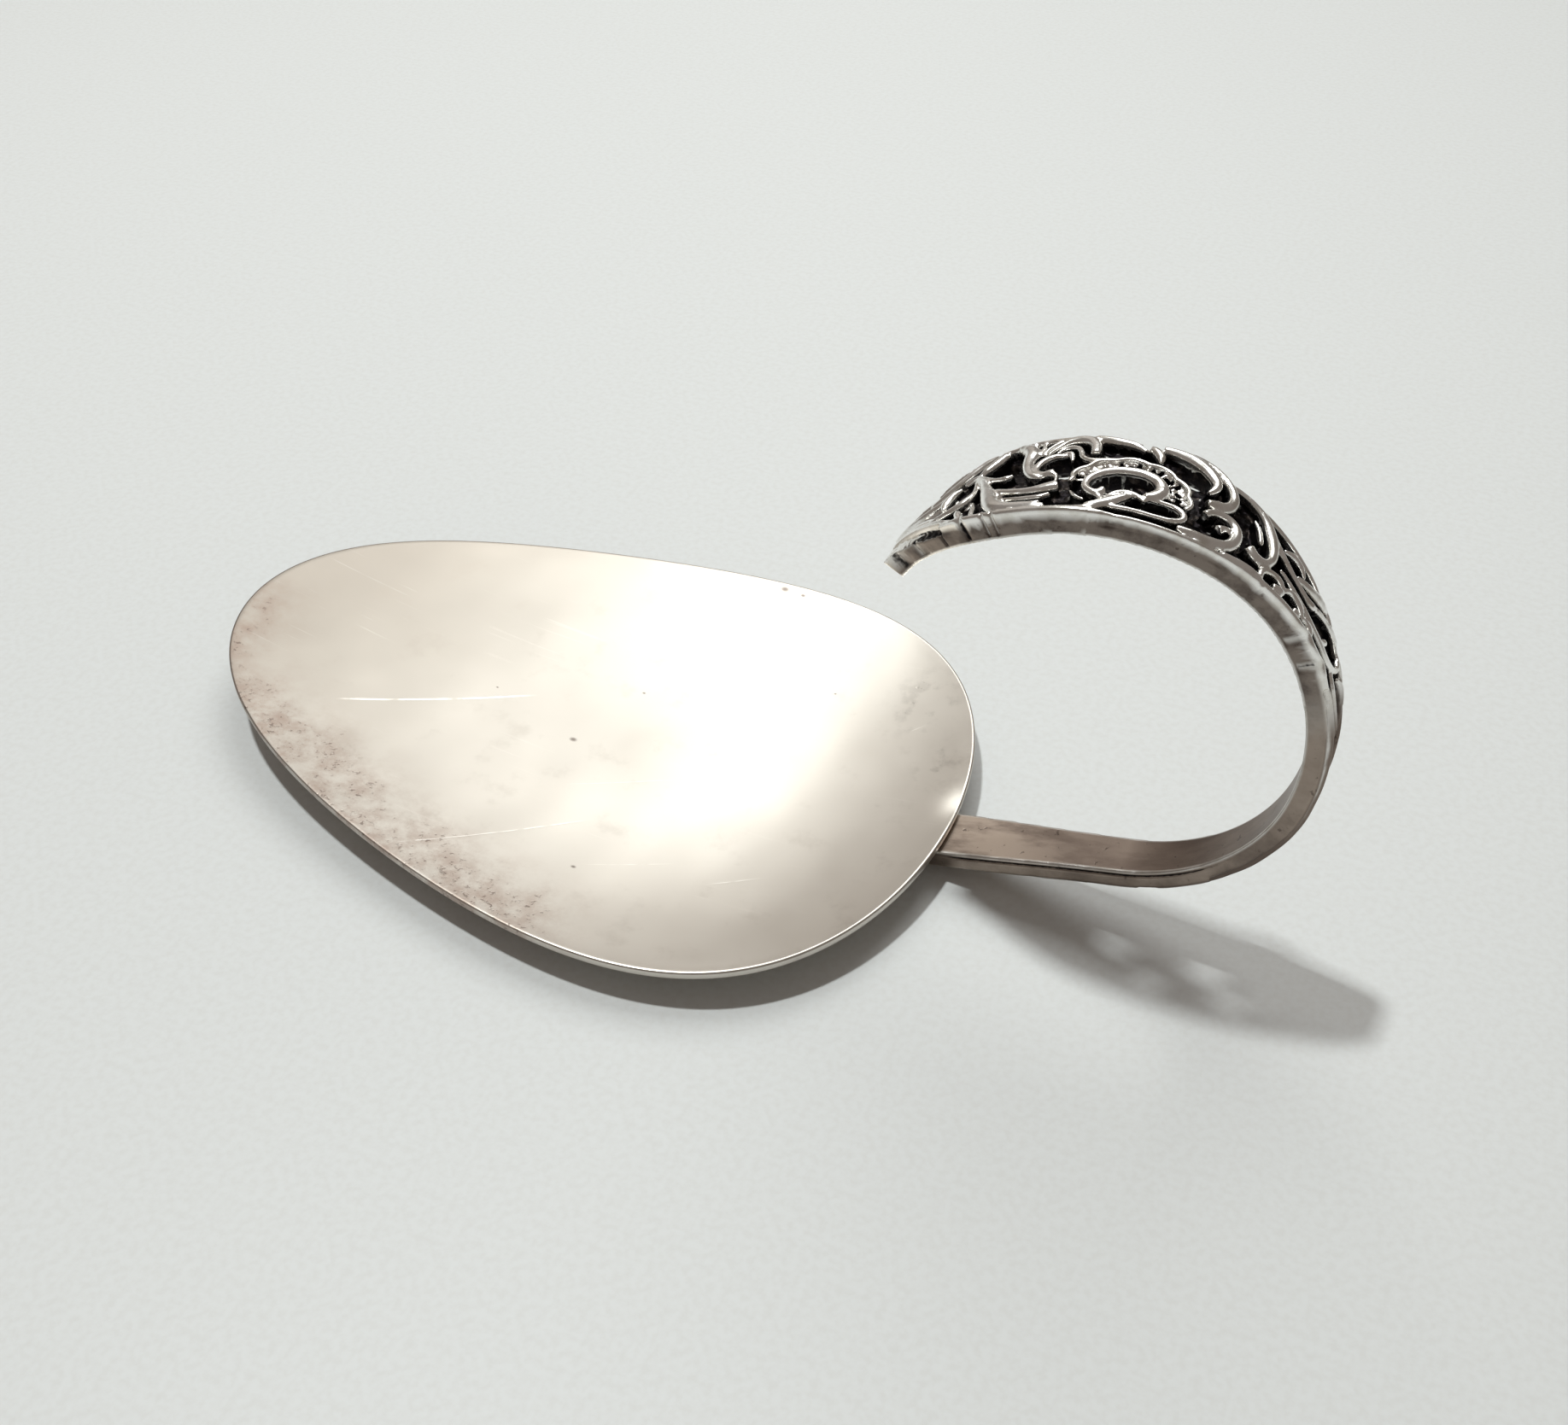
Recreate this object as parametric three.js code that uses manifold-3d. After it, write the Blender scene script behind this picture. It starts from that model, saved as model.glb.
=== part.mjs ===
// A hand-made silver spoon: a shallow egg-shaped bowl beaten from sheet, and a cast handle that is soldered under
// the heel of the bowl and curls up and back over it, ending in a pierced scroll-work head.
// Millimetres, +Z up. The origin is the middle of the small flat that the bowl rests on, and +X runs towards the
// handle. The handle lies in the plane y = 0.

import * as THREE from 'three';
import Module from 'manifold-3d';

// ---- driving dimensions ----
const BOWL_LENGTH = 60;        // heel to tip, along X
const BOWL_HALF_WIDTH = 20.1;  // scale of the egg outline
const EGG = [0.30, 0.20];      // how much fuller the heel end is than the tip end
const HEEL_X = 19.5;           // from the resting flat to the heel
const SHEET = 0.72;            // thickness of the bowl's sheet
const RIM_Z = 3.62;            // mean height of the rim above the floor
const HEEL_DROP = -0.39;       // the rim's own rise and fall about that height
const TIP_RISE = 1.44;
const SIDE_DROP = -0.74;
const FLAT = 0.17;             // share of the bowl, from the middle out, that is flat underneath
const DISH = 1.95;             // exponent of the dished part beyond the flat
const RIM_ROUND = 0.22;        // rounding of the rim's two corners
const AROUND = 80;             // facets around the bowl
const RADIAL = 13;             // rings from the flat to the rim

const GAP = 0.06;              // solder film between tongue and bowl
const TONGUE = 8.6;            // length of the tongue under the bowl
const STEM_RISE = 14.8;        // degrees, the stem's slope where it leaves the bowl
const STRAIGHT = 12.85;        // straight part of the stem
const ARC = 14.2;              // length of each of the arcs that follow it
const RADII = [12.7, 16.5, 11.9, 16.3]; // inner radii of those arcs, from the stem to the tip
const EDGE_ROUND = 0.28;       // rounding of the stem's long edges
const STATION = 0.7;           // spacing of the handle's cross-sections

// Half width of the handle at these distances along it, from the heel to the squared tip.
const HALF_WIDTHS = [
  [-8.6, 1.2], [-7.9, 1.7], [-6, 2.0], [0, 2.15], [10, 1.8], [20, 1.6], [30, 1.6], [36, 1.75], [40, 2.1],
  [45, 2.95], [50, 3.75], [55, 4.15], [60, 4.05], [64, 2.95], [67, 1.8], [68.6, 1.35],
];
// Thickness: a plain bar along the stem, thicker where the scrolls stand up.
const THICKNESS = [[-8.6, 1.4], [0, 1.42], [30, 1.45], [38, 1.6], [46, 1.75], [60, 1.75], [68.6, 1.6]];

// Openings in the scroll-work: place along and across the handle, half length, half width, turn in degrees.
const OPENINGS = [
  [52.6, -0.2, 1.35, 0.66, 6],
  [49.7, 2.7, 1.5, 0.6, -12],
  [56.6, 1.5, 1.1, 0.65, 15],
  [50.7, -2.1, 1.4, 0.42, 3],
  [48.6, -1.5, 0.85, 0.5, -20],
  [58, -0.7, 1.3, 0.45, 15],
  [60.3, 2.3, 0.7, 0.85, -20],
  [55.4, -2.5, 1.15, 0.38, -5],
];

const SILVER = { color: 0xb9b5ae, roughness: 0.34, metalness: 1 };
const OXIDISED = { color: 0x8f8a84, roughness: 0.45, metalness: 1 };
const SOLDER = { color: 0xa8a39b, roughness: 0.5, metalness: 1 };

// ---- helpers ----
function between(table, t) {
  // smooth interpolation in a table of [place, value] pairs
  if (t <= table[0][0]) return table[0][1];
  for (let i = 1; i < table.length; i++) {
    if (t <= table[i][0]) {
      const [a, u] = table[i - 1];
      const [b, v] = table[i];
      const before = i > 1 ? (v - table[i - 2][1]) / (b - table[i - 2][0]) : (v - u) / (b - a);
      const after = i + 1 < table.length ? (table[i + 1][1] - u) / (table[i + 1][0] - a) : (v - u) / (b - a);
      const q = (t - a) / (b - a);
      const h = b - a;
      return u * (1 + 2 * q) * (1 - q) ** 2 + before * h * q * (1 - q) ** 2
        + v * q * q * (3 - 2 * q) + after * h * q * q * (q - 1);
    }
  }
  return table[table.length - 1][1];
}

function meshOf(points, faces) {
  const geometry = new THREE.BufferGeometry();
  geometry.setAttribute('position', new THREE.Float32BufferAttribute(points.flat(), 3));
  geometry.setIndex(faces.flat());
  return geometry;
}

// A closed skin through rings of equal count: quads between rings, a fan over each end.
function skin(rings) {
  const n = rings[0].length;
  const points = rings.flat();
  const faces = [];
  for (let i = 0; i + 1 < rings.length; i++) {
    for (let j = 0; j < n; j++) {
      const k = (j + 1) % n;
      const [a, b, c, d] = [i * n + j, i * n + k, (i + 1) * n + k, (i + 1) * n + j];
      faces.push([a, b, c], [a, c, d]);
    }
  }
  const last = (rings.length - 1) * n;
  for (let j = 1; j + 1 < n; j++) {
    faces.push([0, j + 1, j], [last, last + j, last + j + 1]);
  }
  return meshOf(points, faces);
}

// ---- bowl ----
function rim(a) {
  const c = Math.cos(a);
  const s = Math.sin(a);
  return {
    x: HEEL_X - (BOWL_LENGTH / 2) * (1 - c),
    y: BOWL_HALF_WIDTH * s * (1 + EGG[0] * c + EGG[1] * c * c),
    z: RIM_Z + HEEL_DROP * ((1 + c) / 2) ** 3 + TIP_RISE * ((1 - c) / 2) ** 3 + SIDE_DROP * s * s,
  };
}

// Height of the bowl's underside at share r of the way from the middle to the rim in direction a.
function under(r, a) {
  const out = Math.max(0, (r - FLAT) / (1 - FLAT));
  return (rim(a).z - SHEET) * out ** DISH;
}

function underAt(x, y) {
  // the direction whose rim point lies beyond (x, y), found by halving
  let lo = 0;
  let hi = Math.PI;
  const bearing = Math.atan2(Math.abs(y), x);
  for (let i = 0; i < 40; i++) {
    const mid = (lo + hi) / 2;
    const p = rim(mid);
    if (Math.atan2(p.y, p.x) < bearing) lo = mid;
    else hi = mid;
  }
  const p = rim(lo);
  return under(Math.hypot(x, y) / Math.hypot(p.x, p.y), lo);
}

function bowl() {
  const directions = Array.from({ length: AROUND }, (_, i) => (i / AROUND) * 2 * Math.PI);
  const shares = [0.06, FLAT];
  for (let i = 1; i <= RADIAL; i++) shares.push(FLAT + (1 - FLAT) * (i / RADIAL));
  const rings = [];
  const ring = (share, inset, lift) => rings.push(directions.map((a) => {
    const p = rim(a);
    const r = share - inset / Math.hypot(p.x, p.y);
    return [p.x * r, p.y * r, under(r, a) + lift];
  }));
  for (const share of shares) ring(share, share === 1 ? RIM_ROUND : 0, 0);
  ring(1, 0, RIM_ROUND);
  ring(1, 0, SHEET - RIM_ROUND);
  for (const share of shares.slice().reverse()) ring(share, share === 1 ? RIM_ROUND : 0, SHEET);
  return skin(rings);
}

// ---- handle ----
// The inner face of the handle as a path in the plane y = 0: a straight stem, then arcs that turn up and back.
function pathPoint(s) {
  let x = HEEL_X;
  let z = under(1, 0) - GAP;
  let heading = THREE.MathUtils.degToRad(STEM_RISE);
  let left = s;
  const run = Math.min(left, STRAIGHT);
  x += run * Math.cos(heading);
  z += run * Math.sin(heading);
  left -= run;
  for (const radius of RADII) {
    if (left <= 0) break;
    const turn = Math.min(left, ARC) / radius;
    x += radius * (Math.sin(heading + turn) - Math.sin(heading));
    z += radius * (Math.cos(heading) - Math.cos(heading + turn));
    heading += turn;
    left -= ARC;
  }
  return { x, z, heading };
}
const HANDLE_LENGTH = 68.6; // from the heel to the tip along the inner face

// A point of the handle: s along it, y across it, h out from its inner face.
function onHandle(s, y, h) {
  const p = pathPoint(s);
  if (s < 0) {
    // the tongue: its top follows the bowl's underside, its foot is filed level where it would reach the floor
    const top = underAt(p.x, y) - GAP;
    const foot = Math.max(0, p.z - between(THICKNESS, s) / Math.cos(p.heading));
    return [p.x, y, top + (foot - top) * (h / between(THICKNESS, s))];
  }
  return [p.x + h * Math.sin(p.heading), y, p.z - h * Math.cos(p.heading)];
}

function section(s) {
  const w = between(HALF_WIDTHS, s);
  const t = between(THICKNESS, s);
  const r = s < 0 ? 0.1 : Math.min(EDGE_ROUND, t / 4);
  const corners = [
    [-w + r, 0], [-w, r], [-w, t - r], [-w + r, t], [-w / 3, t], [w / 3, t],
    [w - r, t], [w, t - r], [w, r], [w - r, 0],
  ];
  return corners.map(([y, h]) => onHandle(s, y, h));
}

// A prism through the handle whose outline is an oval on its surface.
function opening([along, across, half, wide, turn]) {
  const c = Math.cos(THREE.MathUtils.degToRad(turn));
  const d = Math.sin(THREE.MathUtils.degToRad(turn));
  const outline = Array.from({ length: 18 }, (_, i) => {
    const a = (i / 18) * 2 * Math.PI;
    const [p, q] = [half * Math.cos(a), wide * Math.sin(a)];
    return [along + p * c - q * d, across + p * d + q * c];
  });
  return skin([-0.8, 2.8].map((h) => outline.map(([s, y]) => onHandle(s, y, h))));
}

function handle(wasm) {
  const stations = [];
  const count = Math.round((HANDLE_LENGTH + TONGUE) / STATION);
  for (let i = 0; i <= count; i++) stations.push(-TONGUE + ((HANDLE_LENGTH + TONGUE) * i) / count);
  let solid = toManifold(wasm, skin(stations.map(section)));
  for (const each of OPENINGS) solid = solid.subtract(toManifold(wasm, opening(each)));
  return fromManifold(solid);
}

// ---- solder ----
// A small concave fillet between the tongue's sides and the bowl, running around the tongue's end.
function solderSeam() {
  const outline = [];
  for (let i = 0; i <= 11; i++) {
    const s = -0.5 - ((TONGUE - 1.1) * i) / 11;
    outline.push([pathPoint(s).x, -between(HALF_WIDTHS, s)]);
  }
  const end = pathPoint(-TONGUE).x;
  const w = between(HALF_WIDTHS, -TONGUE);
  for (let i = 0; i <= 6; i++) {
    const y = -w * 0.85 + (2 * w * 0.85 * i) / 6;
    outline.push([end - 0.02, y]);
  }
  for (let i = 11; i >= 0; i--) outline.push([outline[i][0], -outline[i][1]]);
  const rings = outline.map(([x, y], i) => {
    const [a, b] = [outline[Math.max(0, i - 1)], outline[Math.min(outline.length - 1, i + 1)]];
    const length = Math.hypot(b[0] - a[0], b[1] - a[1]);
    const out = [(b[1] - a[1]) / -length, (b[0] - a[0]) / length];
    const sign = out[0] * (x - (end + 4)) + out[1] * y > 0 ? 1 : -1;
    const at = (d, drop) => {
      const [px, py] = [x + sign * out[0] * d, y + sign * out[1] * d];
      const top = underAt(px, py) - 0.03;
      return [px, py, Math.max(0.03, top - drop)];
    };
    const reach = Math.min(0.55, 0.8 * underAt(x, y));
    return [at(0.1, 0), at(0.1, reach), at(0.24, reach * 0.42), at(0.1 + reach, 0.06), at(0.1 + reach, 0)];
  });
  return skin(rings);
}

// ---- solids ----
function toManifold(wasm, geometry) {
  const index = Uint32Array.from(geometry.index.array);
  const vertProperties = Float32Array.from(geometry.attributes.position.array);
  const solid = new wasm.Manifold(new wasm.Mesh({ numProp: 3, vertProperties, triVerts: index }));
  if (solid.volume() > 0) return solid;
  for (let i = 0; i < index.length; i += 3) [index[i + 1], index[i + 2]] = [index[i + 2], index[i + 1]];
  return new wasm.Manifold(new wasm.Mesh({ numProp: 3, vertProperties, triVerts: index }));
}

function fromManifold(solid) {
  const mesh = solid.getMesh();
  const geometry = new THREE.BufferGeometry();
  geometry.setAttribute('position', new THREE.Float32BufferAttribute(Float32Array.from(mesh.vertProperties), 3));
  geometry.setIndex(Array.from(mesh.triVerts));
  return geometry;
}

function node(wasm, name, geometry, look) {
  const closed = fromManifold(toManifold(wasm, geometry));
  closed.computeVertexNormals();
  const mesh = new THREE.Mesh(closed, new THREE.MeshStandardMaterial(look));
  mesh.name = name;
  return mesh;
}

const wasm = await Module();
wasm.setup();
const spoon = new THREE.Group();
spoon.name = 'spoon';
spoon.add(node(wasm, 'bowl', bowl(), SILVER));
spoon.add(node(wasm, 'handle', handle(wasm), OXIDISED));
spoon.add(node(wasm, 'solder_seam', solderSeam(), SOLDER));

export default spoon;
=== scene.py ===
"""A hand-made silver spoon lying on a pale table.

The bowl is worn satin silver sheet. The handle is one casting: a plain stem that curls up and back into a
pierced scroll-work head, oxidised black in its recesses and rubbed bright on its crests.

The scroll-work is drawn flat, in millimetres: s runs along the handle from the heel of the bowl to the tip, y
runs across it and h stands up from its inner face. It is fused into one skin and then bent round the loop.
"""

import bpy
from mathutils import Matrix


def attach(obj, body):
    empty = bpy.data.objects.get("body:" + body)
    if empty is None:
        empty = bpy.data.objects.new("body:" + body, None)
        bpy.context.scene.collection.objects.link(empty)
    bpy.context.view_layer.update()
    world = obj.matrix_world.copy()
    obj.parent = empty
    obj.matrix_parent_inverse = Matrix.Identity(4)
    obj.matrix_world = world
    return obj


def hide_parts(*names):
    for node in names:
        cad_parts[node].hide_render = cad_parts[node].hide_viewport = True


bl_info = {
    "name": "Scroll-work silver spoon",
    "version": (1, 0, 0),
    "blender": (4, 5, 0),
    "location": "3D View > Sidebar > Spoon",
    "description": "Builds the bowl, handle, solder and studio of a hand-made silver spoon",
    "category": "Object",
}

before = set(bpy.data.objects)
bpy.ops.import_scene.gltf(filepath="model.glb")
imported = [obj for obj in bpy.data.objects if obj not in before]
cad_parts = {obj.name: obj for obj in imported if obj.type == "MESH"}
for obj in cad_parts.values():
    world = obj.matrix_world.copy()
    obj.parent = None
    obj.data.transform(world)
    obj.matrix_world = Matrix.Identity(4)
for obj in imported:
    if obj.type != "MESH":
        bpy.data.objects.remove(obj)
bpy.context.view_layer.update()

import math

import bmesh
import bpy
import numpy as np
from bpy.props import FloatProperty, FloatVectorProperty, PointerProperty
from mathutils import Matrix, Vector, noise
from mathutils.kdtree import KDTree

MM = 0.001


def linear(code):
    """An sRGB hex colour such as "c8c3ba" as linear red, green, blue and alpha."""
    parts = [int(code[i : i + 2], 16) / 255 for i in (0, 2, 4)]
    return tuple(p / 12.92 if p <= 0.04045 else ((p + 0.055) / 1.055) ** 2.4 for p in parts) + (1.0,)


# ---------------------------------------------------------------- settings


def number(name, about, default, **more):
    return FloatProperty(name=name, description=about, default=default, **more)


def size(name, about, default):
    return number(name, about, default, unit="LENGTH", precision=5)


def colour(name, about, code):
    return FloatVectorProperty(
        name=name, description=about, default=linear(code)[:3], subtype="COLOR", min=0, max=1
    )


class SpoonBowlSettings(bpy.types.PropertyGroup):
    length: size("Length", "Bowl from heel to tip", 60 * MM)
    half_width: size("Half width", "Scale of the egg outline across the bowl", 20.1 * MM)
    heel: size("Heel", "From the middle of the resting flat to the heel", 19.5 * MM)
    sheet: size("Sheet", "Thickness of the silver sheet", 0.72 * MM)
    rim: size("Rim height", "Mean height of the rim above the table", 3.62 * MM)
    wave: size("Planishing", "Height of the soft waves the hammer left", 0.035 * MM)
    silver: colour("Silver", "Rubbed silver of the bowl", "d3cec6")
    tarnish: colour("Tarnish", "Brown-pink tarnish near the rim", "94796b")


class SpoonHandleSettings(bpy.types.PropertyGroup):
    crest: size("Crest", "Height of the scrolls above the inner face", 1.72 * MM)
    ground: size("Ground", "Height of the sunk ground between the scrolls", 1.08 * MM)
    grain: size("Grain", "Fineness of the casting's skin", 0.085 * MM)
    polished: colour("Polished silver", "Rubbed crests of the scrolls", "f7f6f3")
    oxide: colour("Oxide", "Black oxide in the recesses", "1d1a1c")
    worn: colour("Worn silver", "Handled silver of the stem", "b3a497")
    # edge silver: duller metal, and a darker colour that is painted shade on the sides and the underside
    edge: colour("Edge silver", "Duller silver of the handle's sides and back", "857b73")
    spread: number("Spread", "Width of the scrolls' ridges against their drawing", 1.16)


class SpoonSolderSettings(bpy.types.PropertyGroup):
    reach: size("Reach", "How far the solder creeps out from the tongue", 0.55 * MM)
    solder: colour("Solder", "Dull solder", "a59d93")


class SpoonStudioSettings(bpy.types.PropertyGroup):
    table: colour("Table", "Pale matt table top", "e3e6e6")
    key: number("Key light", "Power of the small overhead lamp", 1.8, unit="POWER")
    soft: number("Softbox", "Power of the softbox behind", 0.85, unit="POWER")
    room: number("Room", "Strength of the light from the room", 0.22)
    lens: number("Lens", "Focal length in millimetres", 39.2, subtype="DISTANCE_CAMERA")


# ---------------------------------------------------------------- nodes and meshes


def put(tree, kind, links=None, **settings):
    """Adds a node with its settings; links gives its inputs, by name or number, values or other outputs."""
    node = tree.nodes.new(kind)
    for key, value in settings.items():
        setattr(node, key, value)
    fill(tree, node, links or {})
    return node


def fill(tree, node, links):
    for key, value in links.items():
        if isinstance(value, bpy.types.NodeSocket):
            tree.links.new(value, node.inputs[key])
        else:
            node.inputs[key].default_value = value


def new_material(name):
    """A material, its node tree, its shader and the object's own coordinates."""
    material = bpy.data.materials.new(name)
    material.use_nodes = True
    tree = material.node_tree
    tree.nodes.clear()
    surface = put(tree, "ShaderNodeBsdfPrincipled")
    put(tree, "ShaderNodeOutputMaterial", {"Surface": surface.outputs[0]})
    return material, tree, surface, put(tree, "ShaderNodeTexCoord").outputs["Object"]


def attribute(tree, name):
    return put(tree, "ShaderNodeAttribute", attribute_name=name).outputs["Fac"]


def finish_surface(tree, surface, tone, rough, height, strength, depth, metal=1.0):
    """Gives a shader its colour and roughness, and a relief whose depth is in metres."""
    bump = put(tree, "ShaderNodeBump", {"Height": height, "Strength": strength, "Distance": depth}).outputs[0]
    fill(tree, surface, {"Base Color": tone, "Roughness": rough, "Metallic": metal, "Normal": bump})


def ramp(tree, source, low, high):
    """0 below low, 1 above high and a smooth step between; low may be the larger."""
    flip = low > high
    ends = (high, low, 1.0, 0.0) if flip else (low, high, 0.0, 1.0)
    node = put(tree, "ShaderNodeMapRange", {0: source, 1: ends[0], 2: ends[1], 3: ends[2], 4: ends[3]})
    node.interpolation_type = "SMOOTHSTEP"
    return node.outputs[0]


def maths(tree, operation, a, b=0.0):
    return put(tree, "ShaderNodeMath", {0: a, 1: b}, operation=operation).outputs[0]


def vector(tree, operation, a, b=(0, 0, 0)):
    """A vector, or the number that measures one."""
    node = put(tree, "ShaderNodeVectorMath", {0: a, 1: b}, operation=operation)
    return node.outputs["Value" if operation in ("LENGTH", "DOT_PRODUCT") else "Vector"]


def combined(tree, x=0.0, y=0.0, z=0.0):
    return put(tree, "ShaderNodeCombineXYZ", {0: x, 1: y, 2: z}).outputs[0]


def tools(tree, at):
    """Short forms for one material: cloudy noise over the places at, in metres, and a product of factors."""

    def cloud(scale, detail=3.0, roughness=0.55, turn=0.0, stretch=(1, 1, 1), shift=(0, 0, 0)):
        how = {"Vector": at, "Rotation": (0, 0, turn), "Scale": stretch, "Location": shift}
        where = put(tree, "ShaderNodeMapping", how).outputs[0]
        look = {"Vector": where, "Scale": scale, "Detail": detail, "Roughness": roughness}
        return put(tree, "ShaderNodeTexNoise", look).outputs[0]

    def times(*factors):
        product = factors[0]
        for factor in factors[1:]:
            product = maths(tree, "MULTIPLY", product, factor)
        return product

    return cloud, times


def blend(tree, share, a, b):
    """Mixes two colours, or a colour and an output."""
    node = put(tree, "ShaderNodeMix", data_type="RGBA")
    for socket, value in ((node.inputs[0], share), (node.inputs[6], a), (node.inputs[7], b)):
        if isinstance(value, bpy.types.NodeSocket):
            tree.links.new(value, socket)
        elif socket.type == "RGBA":
            socket.default_value = tuple(value)[:3] + (1.0,)
        else:
            socket.default_value = value
    return node.outputs[2]


def placed(name, data):
    """A new object in the scene."""
    item = bpy.data.objects.new(name, data)
    bpy.context.scene.collection.objects.link(item)
    return item


def mesh_object(name, points, faces, material):
    mesh = bpy.data.meshes.new(name)
    mesh.from_pydata(points, [], faces)
    mesh.validate()
    item = placed(name, mesh)
    mesh.materials.append(material)
    mesh.shade_smooth()
    return item


def skin_faces(rings, count):
    """Quads between rings of points and a fan of triangles over each end."""
    faces = []
    for i in range(rings - 1):
        for j in range(count):
            k = (j + 1) % count
            faces.append((i * count + j, i * count + k, (i + 1) * count + k, (i + 1) * count + j))
    last = (rings - 1) * count
    faces += [(0, j + 1, j) for j in range(1, count - 1)]
    faces += [(last, last + j, last + j + 1) for j in range(1, count - 1)]
    return faces


def between(table, t):
    """Smooth interpolation of t in a table of (place, value) pairs."""
    place = np.array([p for p, _ in table])
    value = np.array([v for _, v in table])
    slope = np.gradient(value, place)
    t = np.clip(t, place[0], place[-1])
    i = np.clip(np.searchsorted(place, t, side="right") - 1, 0, len(place) - 2)
    h = place[i + 1] - place[i]
    q = (t - place[i]) / h
    return (
        value[i] * (1 + 2 * q) * (1 - q) ** 2
        + slope[i] * h * q * (1 - q) ** 2
        + value[i + 1] * q * q * (3 - 2 * q)
        + slope[i + 1] * h * q * q * (q - 1)
    )


# ---------------------------------------------------------------- the bowl's shape

EGG = (0.30, 0.20)  # how much fuller the heel end is than the tip end
HEEL_DROP, TIP_RISE, SIDE_DROP = -0.39 * MM, 1.44 * MM, -0.74 * MM
FLAT, DISH = 0.17, 1.95  # share of the bowl that is flat underneath, and how the rest rises
FILM = 0.06 * MM  # solder film between the bowl and the tongue


def rim(bowl, a):
    """Points of the rim in directions a, 0 at the heel and pi at the tip."""
    c, s = np.cos(a), np.sin(a)
    x = bowl.heel - bowl.length / 2 * (1 - c)
    y = bowl.half_width * s * (1 + EGG[0] * c + EGG[1] * c * c)
    z = bowl.rim + HEEL_DROP * ((1 + c) / 2) ** 3 + TIP_RISE * ((1 - c) / 2) ** 3 + SIDE_DROP * s * s
    return x, y, z


def under(bowl, share, a):
    """Height of the bowl's underside at a share of the way from the middle to the rim in direction a."""
    out = np.maximum(0, (share - FLAT) / (1 - FLAT))
    return (rim(bowl, a)[2] - bowl.sheet) * out**DISH


def under_at(bowl, x, y):
    """Height of the bowl's underside over the points (x, y), whose directions are found by halving."""
    x, y = np.broadcast_arrays(np.asarray(x, float), np.abs(np.asarray(y, float)))
    bearing = np.arctan2(y, x)
    low, high = np.zeros_like(bearing), np.full_like(bearing, math.pi)
    for _ in range(30):
        mid = (low + high) / 2
        rx, ry, _z = rim(bowl, mid)
        near = np.arctan2(ry, rx) < bearing
        low, high = np.where(near, mid, low), np.where(near, high, mid)
    rx, ry, _z = rim(bowl, low)
    return under(bowl, np.hypot(x, y) / np.hypot(rx, ry), low)


# ---------------------------------------------------------------- the handle's shape

STEM_RISE = math.radians(14.8)  # slope of the stem where it leaves the bowl
STRAIGHT, ARC = 12.85, 14.2  # length of the straight stem and of each arc after it
RADII = (12.7, 16.5, 11.9, 16.3)  # inner radii of the arcs
HANDLE_LENGTH = 68.6
TONGUE = 8.6  # length of the tongue under the bowl
HALF_WIDTHS = (
    (-8.6, 1.2), (-7.9, 1.7), (-6, 2.0), (0, 2.15), (10, 1.8), (20, 1.6), (30, 1.6), (36, 1.75), (40, 2.1),
    (45, 2.95), (50, 3.75), (55, 4.15), (60, 4.05), (64, 2.95), (67, 1.8), (68.6, 1.35),
)
BAR = ((-8.6, 1.4), (0, 1.42), (30, 1.45), (35, 1.35), (40, 1.1), (64, 1.08), (66.5, 1.3), (68.6, 1.55))


def bend(bowl, flat):
    """Carries points (s, y, h), in millimetres, from the flat drawing onto the curled handle, in metres."""
    s, y, h = flat.T
    x = np.full_like(s, bowl.heel / MM)
    z = np.full_like(s, (under(bowl, 1.0, 0.0) - FILM) / MM)
    heading = np.full_like(s, STEM_RISE)
    run = np.minimum(s, STRAIGHT)
    x, z = x + run * np.cos(heading), z + run * np.sin(heading)
    left = s - run
    for i, radius in enumerate(RADII):
        part = np.clip(left, 0, ARC) if i + 1 < len(RADII) else np.maximum(left, 0)
        turned = heading + part / radius
        x = x + radius * (np.sin(turned) - np.sin(heading))
        z = z + radius * (np.cos(heading) - np.cos(turned))
        heading = turned
        left = left - part
    out = np.stack([x + h * np.sin(heading), y, z - h * np.cos(heading)], axis=1)
    # the tongue: its top follows the bowl, and its foot is filed level where it would reach the table
    tongue = s < 0
    thick = between(BAR, s)
    top = (under_at(bowl, x * MM, y * MM) - FILM) / MM
    foot = np.maximum(0.0, z - thick / np.cos(heading))
    level = np.stack([x, y, top + (foot - top) * (h / thick)], axis=1)
    ease = np.clip(-s / 0.6, 0, 1)[:, None]
    return np.where(tongue[:, None], level * ease + out * (1 - ease), out) * MM


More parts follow.
